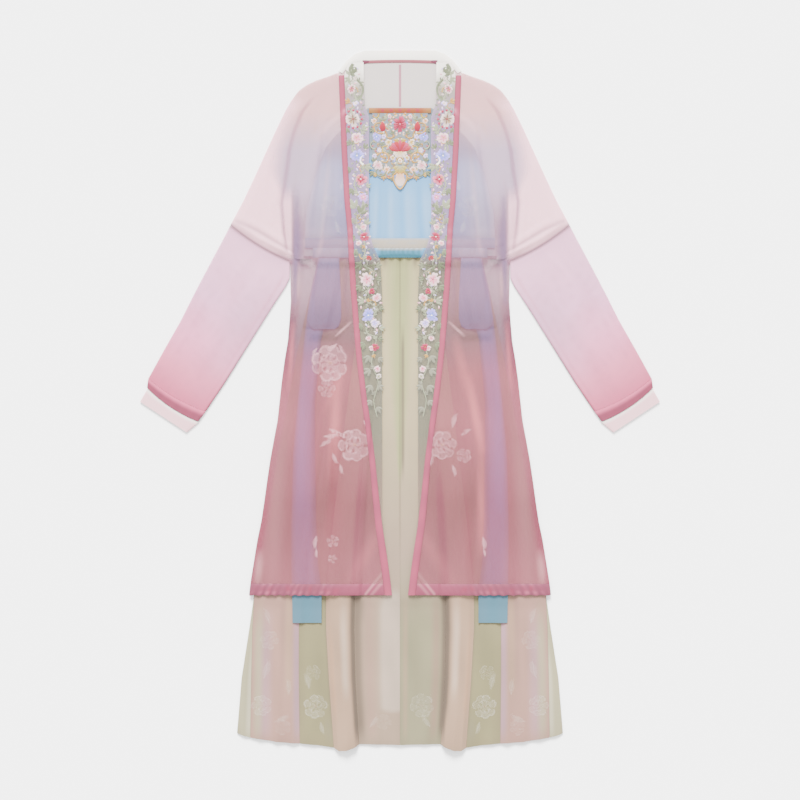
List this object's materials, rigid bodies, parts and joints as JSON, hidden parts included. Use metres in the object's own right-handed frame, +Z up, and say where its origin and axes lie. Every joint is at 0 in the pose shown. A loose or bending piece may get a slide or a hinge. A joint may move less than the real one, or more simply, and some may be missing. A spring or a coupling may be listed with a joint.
{
  "type": "hanfu robe set laid flat",
  "caption": "Sheer open hanfu robe with bound edges and embroidered front bands, laid flat over a bodice and panelled skirt with a waist tie.",
  "frame": {"origin": "centre of the garment's outline on the surface that it lies on", "axes": "+X across the garment to the wearer's left sleeve, +Y from hem to collar, +Z up from the surface"},
  "size_m": [0.955, 1.2857, 0.0157],
  "materials": {
    "coat_silk": "sheer rose gauze, paler at the shoulders",
    "sleeve_silk": "sheer gauze, white at the top and pink at the cuff",
    "binding_silk": "deep rose satin binding",
    "cream_silk": "cream gauze",
    "band_gauze": "grey green gauze under embroidery",
    "bodice_silk": "light blue voile",
    "waistband_silk": "cream satin",
    "gold_braid": "gold braid",
    "embroidery": "satin stitch in many colours",
    "tie_silk": "light blue satin",
    "skirt_cream": "cream chiffon",
    "skirt_centre": "cream grey chiffon",
    "skirt_green": "pale green chiffon",
    "skirt_blush": "pinkish cream chiffon"
  },
  "bodies": {
    "root": {"bodice_back": "bodice_silk", "bodice_front": "bodice_silk", "bodice_top_band": "gold_braid", "bodice_yoke": "embroidery", "coat_back_left": "coat_silk", "coat_back_right": "coat_silk", "coat_front_left": "coat_silk", "coat_front_right": "coat_silk", "collar_back": "cream_silk", "cuff_binding_left": "binding_silk", "cuff_binding_right": "binding_silk", "cuff_left": "cream_silk", "cuff_right": "cream_silk", "front_band_left": "band_gauze", "front_band_right": "band_gauze", "front_binding_left": "binding_silk", "front_binding_right": "binding_silk", "hem_binding_back": "binding_silk", "hem_binding_front_left": "binding_silk", "hem_binding_front_right": "binding_silk", "skirt_back": "skirt_green", "skirt_blush_left": "skirt_blush", "skirt_blush_right": "skirt_blush", "skirt_centre_left": "skirt_centre", "skirt_centre_right": "skirt_centre", "skirt_cream_left": "skirt_cream", "skirt_cream_right": "skirt_cream", "skirt_green_left": "skirt_green", "skirt_green_right": "skirt_green", "skirt_side_left": "skirt_green", "skirt_side_right": "skirt_green", "sleeve_left": "sleeve_silk", "sleeve_right": "sleeve_silk", "tie_loop_left": "tie_silk", "tie_loop_right": "tie_silk", "tie_tail_left": "tie_silk", "tie_tail_right": "tie_silk", "waist_tie": "tie_silk", "waistband": "waistband_silk"}
  },
  "joints": []
}
